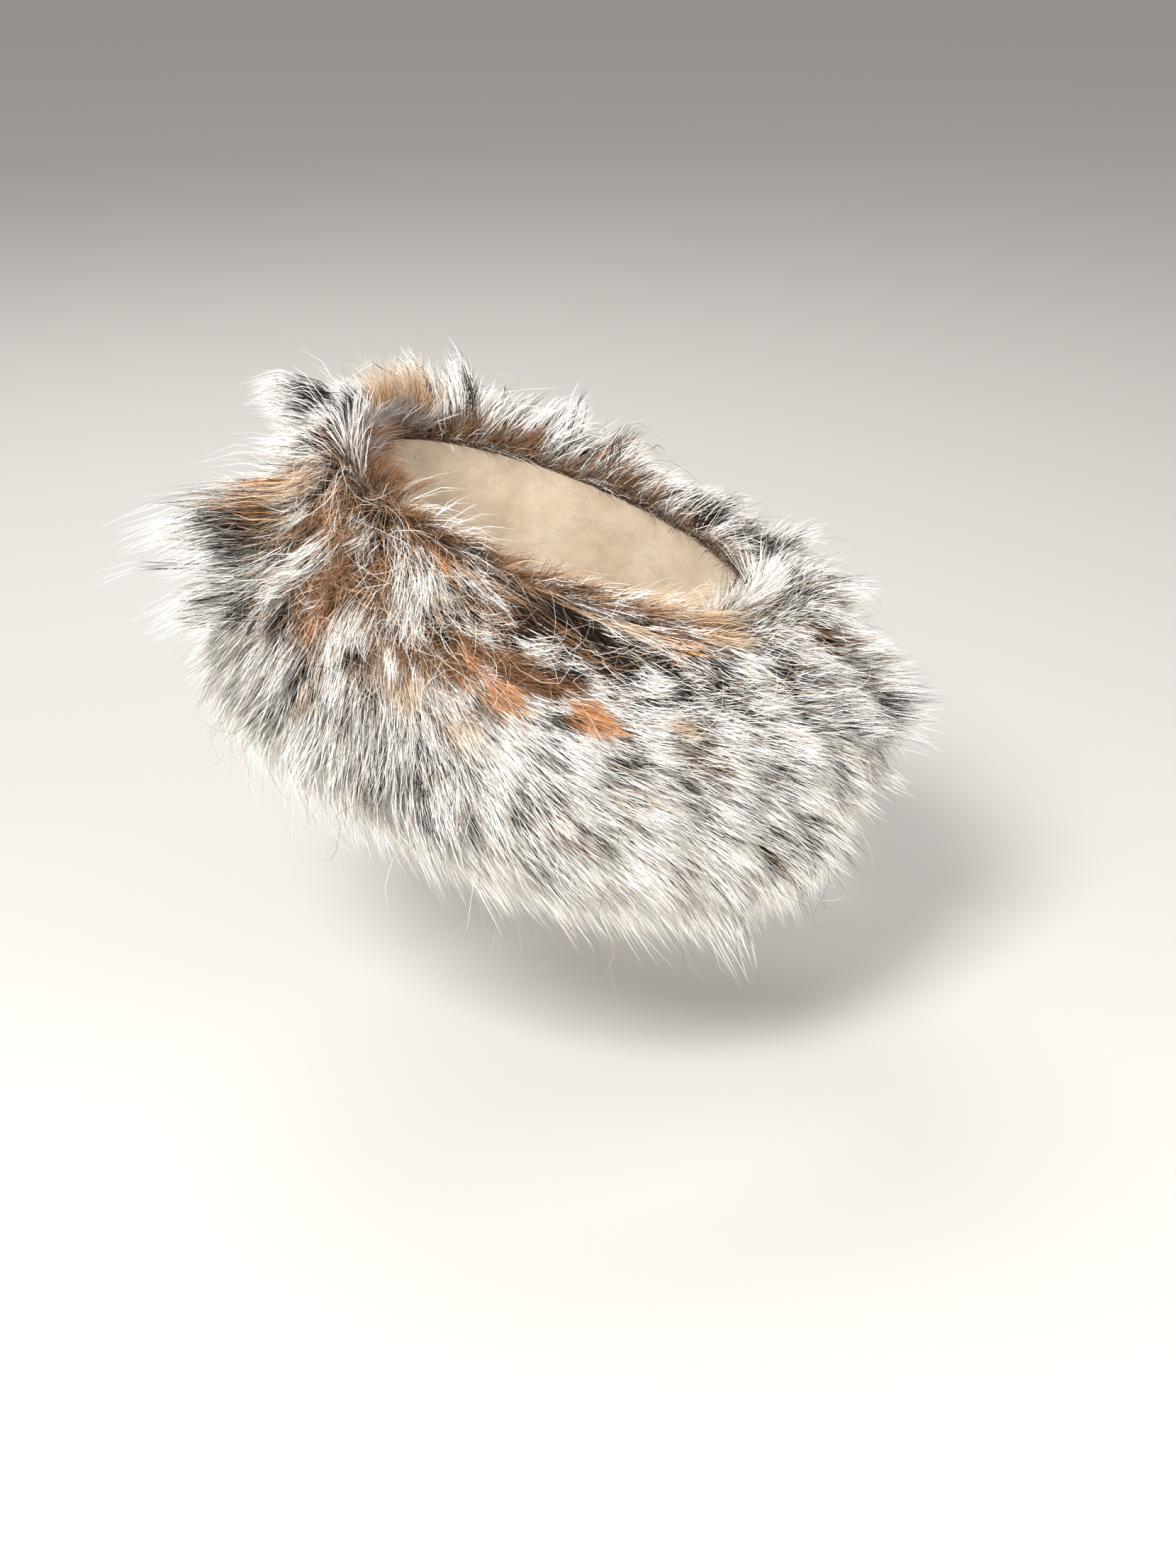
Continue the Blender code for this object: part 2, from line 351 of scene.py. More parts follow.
def periodic(columns, table, azimuth):
    """The named columns of a table over azimuth, on smooth closed curves."""
    table = np.array(table, float)
    place = (azimuth % 360) / (360 / len(table))
    index = place.astype(int)
    t = place - index
    weights = (
        (-t + 2 * t**2 - t**3) / 2,
        (2 - 5 * t**2 + 3 * t**3) / 2,
        (t + 4 * t**2 - 3 * t**3) / 2,
        (-(t**2) + t**3) / 2,
    )
    values = {}
    for column, name in enumerate(columns[1:], start=1):
        rows = [table[(index + k) % len(table), column] for k in (-1, 0, 1, 2)]
        values[name] = sum(w * row for w, row in zip(weights, rows))
    return values


def unit(vectors):
    """Vectors at length 1."""
    return vectors / np.maximum(np.linalg.norm(vectors, axis=-1, keepdims=True), 1e-12)


class Band:
    """The hide and the pile's outer surface, on grids of azimuth and share of the way to the hem."""

    AZIMUTHS = 360
    SHARES = 96
    ROUNDINGS = 4

    def __init__(self):
        azimuth = np.arange(self.AZIMUTHS) * 360 / self.AZIMUTHS
        values = periodic(SECTION_COLUMNS, SECTIONS, azimuth)
        angle, flare = np.radians(azimuth), np.radians(values["flare"])
        x, y = HEAD_LENGTH / 2 * np.cos(angle), HEAD_WIDTH / 2 * np.sin(angle)
        level = y * math.tan(math.radians(SIDE_TILT)) - x * math.tan(math.radians(FRONT_TILT))
        flat = np.zeros_like(x)
        up = np.array((0.0, 0.0, 1.0))
        self.top = np.stack((x, y, level), axis=1)
        self.out = unit(np.stack((x / HEAD_LENGTH**2, y / HEAD_WIDTH**2, flat), axis=1))
        self.round = np.cross(up, self.out)
        self.down = self.out * np.sin(flare)[:, None] - up * np.cos(flare)[:, None]
        self.across = self.out * np.cos(flare)[:, None] + up * np.sin(flare)[:, None]
        rows = []
        for shape in (dict(zip(OUTLINE_COLUMNS, row)) for row in OUTLINE):
            depth = (values[shape["depth"]] * HAIR_LENGTH - LOCK_RELIEF) * shape["out"]
            lift = (values["rise"] * shape["rise"] - values["hang"] * shape["hang"]) * HAIR_LENGTH
            place = self.top + self.down * HIDE_HEIGHT * shape["down"]
            rows.append(place + self.out * depth[:, None] + up * lift[:, None])
        line = np.stack(rows, axis=1)
        steps = np.linalg.norm(np.diff(line, axis=1), axis=2)
        reach = np.concatenate((np.zeros((self.AZIMUTHS, 1)), np.cumsum(steps, axis=1)), axis=1)
        self.length = reach[:, -1]
        shares = np.linspace(0, 1, self.SHARES + 1)
        self.place = np.empty((self.AZIMUTHS, self.SHARES + 1, 3))
        for column in range(self.AZIMUTHS):
            for axis in range(3):
                at = reach[column] / self.length[column]
                self.place[column, :, axis] = np.interp(shares, at, line[column, :, axis])
        for _ in range(self.ROUNDINGS):
            inner = self.place[:, 1:-1]
            self.place[:, 1:-1] = (self.place[:, :-2] + 2 * inner + self.place[:, 2:]) / 4
        flow = np.gradient(self.place, axis=1)
        self.normal = unit(np.cross(flow, self.round[:, None, :]))
        self.radius = np.linalg.norm(self.place[..., :2], axis=2)

    def column(self, grid, azimuth):
        """A grid over azimuth, read between its columns."""
        place = (azimuth % 360) * self.AZIMUTHS / 360
        index = place.astype(int) % self.AZIMUTHS
        t = place - np.floor(place)
        t = t.reshape(t.shape + (1,) * (grid.ndim - 1))
        return grid[index] * (1 - t) + grid[(index + 1) % self.AZIMUTHS] * t

    def cell(self, grid, azimuth, share):
        """A grid over azimuth and share, read between its cells."""
        place = (azimuth % 360) * self.AZIMUTHS / 360
        row = np.clip(share, 0, 1) * self.SHARES
        i, j = place.astype(int) % self.AZIMUTHS, np.minimum(row.astype(int), self.SHARES - 1)
        s, t = place - np.floor(place), row - j
        if grid.ndim == 3:
            s, t = s[..., None], t[..., None]
        after = (i + 1) % self.AZIMUTHS
        near = grid[i, j] * (1 - t) + grid[i, j + 1] * t
        far = grid[after, j] * (1 - t) + grid[after, j + 1] * t
        return near * (1 - s) + far * s

    def hide(self, azimuth, across, down):
        """Points of the hide: distance from its inner face and from its top edge."""
        top, flat, fall = (self.column(g, azimuth) for g in (self.top, self.across, self.down))
        return top + flat * np.asarray(across)[..., None] + fall * np.asarray(down)[..., None]

    def pile(self, azimuth, share, height):
        """Points off the pile's surface. Past the hem, hair hangs straight down."""
        place = self.cell(self.place, azimuth, share)
        normal = self.cell(self.normal, azimuth, share)
        fall = np.maximum(share - 1, 0) * self.column(self.length, azimuth)
        place = place + normal * np.asarray(height)[..., None]
        place[..., 2] -= fall
        return place


def lock_places(band):
    """Azimuth, share, then the same of its tip, and the tip's height, of each lock and tuft."""
    chance = random.Random(LOCK_SEED)
    planned = []
    for row, (share, count, angle) in enumerate(LOCK_ROWS):
        for k in range(count):
            azimuth = 360 * (k + 0.5 * (row % 2) + chance.uniform(-0.22, 0.22)) / count
            lift = periodic(SECTION_COLUMNS, SECTIONS, np.array([azimuth]))[angle][0]
            level, length = share + chance.uniform(-0.02, 0.02), chance.uniform(0.85, 1.15)
            planned.append((azimuth, level, length, lift))
    planned += TUFTS
    chance = random.Random(LOCK_SEED + 1)
    sway = np.array([chance.uniform(-LOCK_SWAY, LOCK_SWAY) for _ in planned])
    azimuth, share, length, lift = np.array(planned).T
    reach = LOCK_LENGTH * length
    run = reach * np.cos(np.radians(lift)) / band.column(band.length, azimuth)
    height = reach * np.sin(np.radians(lift))
    return np.stack((azimuth, share, azimuth + sway, share + run, height), axis=1)


def noise(chance, azimuth, share, columns, rows):
    """Smooth chance from 0 to 1 over the band, closed round it."""
    grid, lowest = chance.random((columns, rows + 1)), 1.2
    x, y = (azimuth % 360) / 360 * columns, np.clip(share, 0, lowest) / lowest * (rows - 1e-6)
    i, j = x.astype(int) % columns, y.astype(int)
    s, t = x - np.floor(x), y - j
    s, t = s * s * (3 - 2 * s), t * t * (3 - 2 * t)
    near = grid[i, j] * (1 - t) + grid[i, j + 1] * t
    far = grid[(i + 1) % columns, j] * (1 - t) + grid[(i + 1) % columns, j + 1] * t
    return near * (1 - s) + far * s


def angle_between(a, b):
    """The signed difference of two azimuths, in degrees."""
    return (a - b + 180) % 360 - 180


def smooth_step(x, low, high):
    """0 below low, 1 above high, smooth between."""
    t = np.clip((x - low) / (high - low), 0, 1)
    return t * t * (3 - 2 * t)


def make_piece(name, points, width, facing, tone, profile):
    """Joins hairs into one mesh of tapered blades. Its bake map is hair tone by share of length."""
    count, stations = points.shape[:2]
    tangent = unit(np.gradient(points, axis=1))
    side = unit(np.cross(tangent, facing[:, None, :]))
    half = side * (width[:, None] * np.array(profile) / 2)[..., None]
    edges = np.stack((points - half, points + half), axis=2)[:, :-1]
    blade = np.concatenate((edges.reshape(count, -1, 3), points[:, -1:]), axis=1)
    corners = blade.shape[1]
    pattern = []
    for k in range(stations - 2):
        pattern += (2 * k, 2 * k + 1, 2 * k + 3, 2 * k + 2)
    pattern += (corners - 3, corners - 2, corners - 1)
    loops = (np.arange(count)[:, None] * corners + np.array(pattern)).ravel()
    sizes = np.tile([4] * (stations - 2) + [3], count)
    mesh = bpy.data.meshes.new(name)
    mesh.vertices.add(count * corners)
    mesh.vertices.foreach_set("co", blade.astype(np.float32).ravel())
    mesh.loops.add(len(loops))
    mesh.loops.foreach_set("vertex_index", loops.astype(np.int32))
    mesh.polygons.add(len(sizes))
    mesh.polygons.foreach_set("loop_start", (np.cumsum(sizes) - sizes).astype(np.int32))
    mesh.update(calc_edges=True)
    mesh.validate()
    mesh.shade_smooth()
    share = np.repeat(np.linspace(0, 1, stations), 2)[:-1]
    maps = np.stack((np.repeat(tone, corners), np.tile(share, count)), axis=1)[loops]
    layer = mesh.uv_layers.new(name=BAKE_MAP)
    layer.data.foreach_set("uv", maps.astype(np.float32).ravel())
    mesh.materials.append(hair_finish())
    piece = bpy.data.objects.new(name, mesh)
    bpy.context.scene.collection.objects.link(piece)
    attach(piece, "root")
    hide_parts("fur")


def curve(root, middle, tip, stations, cut):
    """Points of quadratic curves from roots to tips, each cut at a share of its way."""
    t = (np.array(stations)[None, :] * cut[:, None])[..., None]
    first = root[:, None] * (1 - t) + middle[:, None] * t
    last = middle[:, None] * (1 - t) + tip[:, None] * t
    return first * (1 - t) + last * t


def turned(facing, axis, angle):
    """Directions turned about axes by angles."""
    c, s = np.cos(angle)[:, None], np.sin(angle)[:, None]
    along = axis * (axis * facing).sum(axis=1, keepdims=True)
    return facing * c + np.cross(axis, facing) * s + along * (1 - c)


def zone_mix(azimuth, share, shift):
    """The share of each kind of hair in the zone at each place."""
    edge = periodic(COAT_COLUMNS, COAT, azimuth)["saddle"] + shift
    saddle = 1 - smooth_step(share, edge - 0.04, edge + 0.04)[:, None]
    # Towards the hem the mix turns paler, partly from the hem's own hair and partly as painted light that
    # lifts the shade there.
    hem = smooth_step(share, 0.72, 0.98)[:, None]
    mixes = {zone: np.array(mix)[None, :] for zone, mix in MIXES.items()}
    below = mixes["flank"] * (1 - hem) + mixes["hem"] * hem
    return mixes["saddle"] * saddle + below * (1 - saddle)


def draw(mix, pick):
    """The kind at a place from 0 to 1 in each mix."""
    total = np.cumsum(mix / mix.sum(axis=1, keepdims=True), axis=1)
    return np.minimum((pick[:, None] > total).sum(axis=1), mix.shape[1] - 1)


def choose_kinds(band, chance, coat, azimuth, share, clump):
    """The kind of each hair. Spots of the coat are mostly of one kind, and patches cover them."""
    spots = int(COAT_AREA / coat.spot_spacing**2)
    around, down = chance.uniform(0, 360, spots), chance.uniform(0, 1.12, spots)
    places = band.pile(around, down, np.zeros(spots))
    tree = kdtree.KDTree(spots)
    for number, place in enumerate(places):
        tree.insert(place, number)
    tree.balance()
    blur = chance.normal(0, 0.12 * coat.spot_spacing, (len(azimuth), 3))
    seen = band.pile(azimuth, share, np.zeros(len(azimuth))) + blur
    nearest = [tree.find(place)[1] for place in seen]
    spot_kinds = draw(zone_mix(around, down, chance.normal(0, 0.03, spots)), chance.random(spots))
    saddle = periodic(COAT_COLUMNS, COAT, azimuth)["saddle"]
    purity = 0.95 - 0.55 * smooth_step(share, saddle - 0.02, saddle + 0.10)
    mix = zone_mix(azimuth, share, np.zeros(len(azimuth))) * (1 - purity)[:, None]
    mix[np.arange(len(azimuth)), spot_kinds[nearest]] += purity
    for kind, centre, level, wide, high, strength in PATCHES:
        x = angle_between(azimuth, centre) / wide
        y = (share - level) / high
        inside = strength * (1 - smooth_step(np.hypot(x, y), 0.75, 1.15))
        mix *= 1 - inside[:, None]
        mix[:, KINDS.index(kind)] += inside
    shared, own = chance.random(len(azimuth))[clump], chance.random(len(clump))
    return draw(mix[clump], np.where(chance.random(len(clump)) < CLUMP_LIKENESS, shared, own))


def tones(chance, kinds):
    """Where each hair reads the bake map: its kind's column, and how light it is within it."""
    return (kinds + chance.uniform(0.06, 0.94, len(kinds))) / len(KINDS)


def lean_at(azimuth, share):
    """How far hair turns off straight down, in radians. It hangs straighter near the hem."""
    lean = np.radians(periodic(COAT_COLUMNS, COAT, azimuth)["lean"])
    return lean * (1 - 0.45 * smooth_step(share, 0.40, 0.85))


def guide_hairs(band, coat, chance):
    """Azimuth, share and height of the tips of the coat's small clumps."""
    rows = int(band.length.mean() / coat.clump_spacing)
    azimuths, shares = [], []
    for row in range(rows):
        share = COAT_START + COAT_REACH * (row + 0.5) / rows
        around = 2 * math.pi * band.radius[:, int(min(share, 1) * band.SHARES)].mean()
        columns = int(around / coat.clump_spacing)
        places = np.arange(columns) + 0.5 * (row % 2) + chance.uniform(-0.4, 0.4, columns)
        azimuths.append(places * 360 / columns)
        shares.append(share + chance.uniform(-0.5, 0.5, columns) * COAT_REACH / rows)
    azimuth, share = np.concatenate(azimuths) % 360, np.concatenate(shares)
    surface = band.pile(azimuth, share, np.zeros_like(share))

    # Clumps gather to the lock that stands highest over them
    locks = lock_places(band)
    start = band.pile(locks[:, 0], locks[:, 1], np.zeros(len(locks)))
    end = band.pile(locks[:, 2], locks[:, 3], np.zeros(len(locks)))
    axis = end - start
    offset = surface[:, None, :] - start[None]
    along = (offset * axis).sum(axis=2) / (axis * axis).sum(axis=1)
    aside = np.linalg.norm(offset - along[..., None] * axis, axis=2)
    half = LOCK_WIDTH / 2 * (1.1 - 0.5 * np.clip(along, 0, 1))
    near = np.clip(1 - (aside / half) ** 2, 0, 1) * (along > 0) * (along < 1.1)
    score = near * locks[:, 4] * np.clip(along, 0, 1) ** 1.2
    best = score.argmax(axis=1)
    at = np.arange(len(best))
    height = score[at, best]
    gather = coat.gather * near[at, best] * np.clip(along[at, best], 0, 1)
    gather = gather * (1 - 0.9 * smooth_step(share, 0.7, 0.95))
    azimuth = azimuth + gather * angle_between(locks[best, 2], azimuth)
    share = share + gather * (locks[best, 3] - share)
    height = height * chance.uniform(0.75, 1.05, len(height)) + chance.uniform(-0.006, 0.004, len(height))
    height *= 1 - 0.6 * smooth_step(share, 0.85, 1.05)

    # Tufts are fuller than locks
    tufts = locks[-len(TUFTS):]
    clumps = coat.tuft_clumps * (tufts[:, 4] / LOCK_LENGTH) ** 2
    tufts = np.repeat(tufts, clumps.astype(int), axis=0)
    back = chance.uniform(0, 1, len(tufts))
    azimuth = np.append(azimuth, tufts[:, 2] + chance.normal(0, 2.4, len(tufts)) * (0.5 + back))
    share = np.append(share, tufts[:, 3] - 0.12 * back + chance.normal(0, 0.03, len(tufts)))
    height = np.append(height, tufts[:, 4] * (1 - 0.5 * back) * chance.uniform(0.6, 1.05, len(tufts)))
    return azimuth, share, height


def root_places(band, azimuth, share, height, length, swirl):
    """Where on the hide the hair of that length grows, whose tip is there."""
    tip = band.pile(azimuth, share, height)
    across, down, top = (band.column(g, azimuth) for g in (band.across, band.down, band.top))
    away = ((tip - top) * across).sum(axis=1) - HIDE_THICKNESS
    below = ((tip - top) * down).sum(axis=1)
    run = np.sqrt(np.maximum(length**2 - away**2, (0.25 * length) ** 2))
    lean = lean_at(azimuth, share) + swirl
    start = np.clip(below - run * np.cos(lean), 0, HIDE_HEIGHT)
    radius = band.cell(band.radius, azimuth, share)
    turn = np.degrees(run * np.sin(lean) / radius)
    return azimuth - turn, start, turn


def colour_setting(name, description, default):
    """A colour that the panel can change."""
    return bpy.props.FloatVectorProperty(
        name=name, description=description, subtype="COLOR", min=0, max=1, default=default,
    )


class HideSettings(bpy.types.PropertyGroup):
    """The hide's finish."""

    flesh: colour_setting("Flesh side", "Colour of the tanned hide", (0.60, 0.50, 0.38))
    shade: colour_setting("Shade", "Colour of the hide's darker clouds", (0.42, 0.32, 0.22))
    nap: bpy.props.FloatProperty(
        name="Nap", description="Height of the suede nap",
        unit="LENGTH", min=0, default=0.0003,
    )


class CoatSettings(bpy.types.PropertyGroup):
    """The sizes and colours of the hair."""

    hair_length: bpy.props.FloatProperty(
        name="Hair length", description="Length of a guard hair from root to tip",
        unit="LENGTH", min=0.01, default=0.074,
    )
    saddle_length: bpy.props.FloatProperty(
        name="Saddle length", description="Length of the hair near the top edge, as a share of hair length",
        subtype="FACTOR", min=0.2, max=1, default=0.55,
    )
    hair_width: bpy.props.FloatProperty(
        name="Hair width", description="Width of a blade that stands for a few guard hairs",
        unit="LENGTH", min=0.0001, default=0.00038,
    )
    clump_spacing: bpy.props.FloatProperty(
        name="Clump spacing", description="Distance between the tips of small clumps",
        unit="LENGTH", min=0.001, default=0.0025,
    )
    spot_spacing: bpy.props.FloatProperty(
        name="Spot spacing", description="Distance between spots of hair of one kind",
        unit="LENGTH", min=0.004, default=0.0145,
    )
    hairs: bpy.props.IntProperty(
        name="Hairs", description="Number of blades of guard hair in the coat", min=100, default=146000,
    )
    underfur_hairs: bpy.props.IntProperty(
        name="Underfur hairs", description="Number of wide blades in the underfur", min=100, default=22000,
    )
    stray_hairs: bpy.props.IntProperty(
        name="Stray hairs", description="Number of single hairs that stand out", min=0, default=3000,
    )
    tuft_clumps: bpy.props.IntProperty(
        name="Tuft clumps", description="Number of small clumps added to each tuft", min=0, default=70,
    )
    gather: bpy.props.FloatProperty(
        name="Gather", description="How far clumps are drawn together into locks",
        subtype="FACTOR", min=0, max=1, default=0.4,
    )
    # The dark grey root is partly the hair's own colour and partly painted shade for the gaps deep in the
    # pile.
    grey_root_and_painted_shade: colour_setting("Dusk", "Dark grey root of a guard hair", (0.030, 0.023, 0.018))
    ash: colour_setting("Ash", "Grey-brown of the underfur", (0.17, 0.145, 0.125))
    fog: colour_setting("Fog", "Light tip of the underfur", (0.36, 0.33, 0.30))
    snow: colour_setting("Snow", "White band of a guard hair", (0.93, 0.895, 0.845))
    soot: colour_setting("Soot", "Black tip of a guard hair", (0.014, 0.010, 0.008))
    # The dark brown root is partly the hair's own colour and partly painted shade for the gaps deep in the
    # pile.
    brown_root_and_painted_shade: colour_setting("Umber", "Dark brown root in the saddle", (0.042, 0.025, 0.017))
    bark: colour_setting("Bark", "Warm brown of the saddle", (0.205, 0.102, 0.050))
    tan: colour_setting("Tan", "Tan of the saddle's light streaks", (0.46, 0.27, 0.145))
    rust: colour_setting("Rust", "Orange of the bright patches", (0.66, 0.32, 0.15))
    cream: colour_setting("Cream", "Cream tip of a tan hair", (0.78, 0.66, 0.50))


class StageSettings(bpy.types.PropertyGroup):
    """The camera, floor and light."""

    camera_place: bpy.props.FloatVectorProperty(
        name="Camera place", description="Where the camera stands",
        subtype="TRANSLATION", unit="LENGTH", default=(0.0156, -1.1093, 0.3802),
    )
    camera_pitch: bpy.props.FloatProperty(
        name="Camera pitch", description="How far the camera looks down",
        subtype="ANGLE", default=math.radians(25.0),
    )
    lens: bpy.props.FloatProperty(
        name="Lens", description="Focal length in millimetres, for a 36 mm long side", default=54.1,
    )
    floor_level: bpy.props.FloatProperty(
        name="Floor level", description="Height of the floor under a worn headband",
        unit="LENGTH", default=-0.27,
    )
    floor_colour: colour_setting("Floor", "Colour of the floor", (0.50, 0.485, 0.46))
    key_power: bpy.props.FloatProperty(
        name="Key light", description="Power of the main softbox", unit="POWER", min=0, default=64.0,
    )
    fill_power: bpy.props.FloatProperty(
        name="Fill light", description="Power of the second softbox", unit="POWER", min=0, default=15.5,
    )
    back_power: bpy.props.FloatProperty(
        name="Back light", description="Power of the softbox behind", unit="POWER", min=0, default=15.0,
    )
    sky: bpy.props.FloatProperty(
        name="Room light", description="Strength of the even light of the room", min=0, default=0.52,
    )


class HEADBAND_OT_hide(bpy.types.Operator):
    """Gives the hide its suede"""

    bl_idname = "headband.hide"
    bl_label = "Finish hide"

    def execute(self, context):
        settings = context.scene.headband_hide
        suede = Finish("Suede flesh side")
        place = suede.value("ShaderNodeTexCoord", output="Object")
        clouds = suede.value("ShaderNodeTexNoise", None, place, Scale=24.0, Detail=6.0, Roughness=0.6)
        drift = suede.value("ShaderNodeTexNoise", None, place, Scale=60.0, Detail=3.0, output="Color")
        veins = suede.value(
            "ShaderNodeTexVoronoi", {"feature": "DISTANCE_TO_EDGE"}, suede.blend(0.06, place, drift),
            Scale=22.0, Randomness=1.0, output="Distance",
        )
        line = {"stops": ((0.0, (0.55, 0.55, 0.55)), (0.05, (0.85, 0.85, 0.85)), (0.16, (1, 1, 1)))}
        creases = suede.value("ShaderNodeValToRGB", line, veins)
        nap = suede.value("ShaderNodeTexNoise", None, place, Scale=900.0, Detail=5.0, Roughness=0.75)
        ramp = {"stops": ((0.32, tuple(settings.shade)), (0.66, tuple(settings.flesh)))}
        tint = suede.value("ShaderNodeValToRGB", ramp, clouds)
        height = nap + 0.8 * creases
        bump = suede.value("ShaderNodeBump", None, Height=height, Distance=settings.nap, Strength=0.9)
        colour = suede.blend(0.2, tint, suede.scaled(tint, creases))
        material = suede.surface(
            Base_Color=suede.scaled(colour, 0.68 + 0.62 * nap), Roughness=0.8 + 0.15 * nap, Normal=bump,
            Sheen_Weight=0.3,
        )
        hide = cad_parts["pelt_band"]
        hide.data.materials.clear()
        hide.data.materials.append(material)
        return {"FINISHED"}


def hair_finish():
    """The material of all hair: its tone and the share along it give its colour."""
    made = bpy.data.materials.get(HAIR_MATERIAL)
    if made:
        return made
    coat = bpy.context.scene.headband_coat
    finish = Finish(HAIR_MATERIAL)
    place = finish.node("ShaderNodeUVMap", {"uv_map": BAKE_MAP})
    parts = finish.node("ShaderNodeSeparateXYZ", None, Value(finish, place.outputs["UV"]))
    tone, share = (Value(finish, parts.outputs[k]) for k in (0, 1))
    colour = None
    for number, (name, stops) in enumerate(HAIRS):
        ramp = {"stops": tuple((at, tuple(getattr(coat, key))) for at, key in stops), "label": name}
        shade = finish.value("ShaderNodeValToRGB", ramp, share)
        colour = shade if colour is None else finish.blend(tone > number / len(HAIRS), colour, shade)
    lightness = 0.72 + 0.4 * (tone * len(HAIRS)).fraction()
    colour = finish.scaled(colour, lightness)
    return finish.surface(Base_Color=colour, Roughness=0.55, Specular_IOR_Level=0.08)


class HEADBAND_OT_underfur(bpy.types.Operator):
    """Grows the short dense underfur on the hide"""

    bl_idname = "headband.underfur"
    bl_label = "Grow underfur"

    STATIONS = (0, 0.4, 0.75, 1)
    PROFILE = (1, 1, 0.8, 0)
    REACH = 0.03
    DEPTH = 0.004
    WIDTH = 0.001

    def execute(self, context):
        coat = context.scene.headband_coat
        band, chance = Band(), np.random.default_rng(3)
        count = coat.underfur_hairs
        azimuth = chance.uniform(0, 360, count)
        down = chance.uniform(0, 1, count) ** 1.1
        root = band.hide(azimuth, np.full(count, HIDE_THICKNESS), down * HIDE_HEIGHT)
        share = 0.12 + 0.80 * down + chance.uniform(0, 0.16, count)
        lean = lean_at(azimuth, share)
        turn = np.degrees(self.REACH * np.sin(lean) / band.cell(band.radius, azimuth, share))
        target = band.pile(azimuth + turn, share, np.full(count, -self.DEPTH))
        reach = chance.uniform(0.5, 0.92, count)[:, None]
        tip = root + (target - root) * reach
        middle = (root + tip) / 2 + chance.normal(0, 0.004, (count, 3))
        points = curve(root, middle, tip, self.STATIONS, np.ones(count))
        kinds = np.where(chance.random(count) < 0.75, KINDS.index("ash"), KINDS.index("brown"))
        saddle = share < periodic(COAT_COLUMNS, COAT, azimuth)["saddle"]
        dark = np.where(chance.random(count) < 0.55, KINDS.index("black"), KINDS.index("brown"))
        kinds = np.where(saddle, dark, kinds)
        width = chance.uniform(0.8, 1.6, count) * self.WIDTH
        normal = band.cell(band.normal, azimuth, share)
        facing = turned(normal, unit(tip - root), chance.normal(0, 0.8, count))
        make_piece("underfur", points, width, facing, tones(chance, kinds), self.PROFILE)
        return {"FINISHED"}


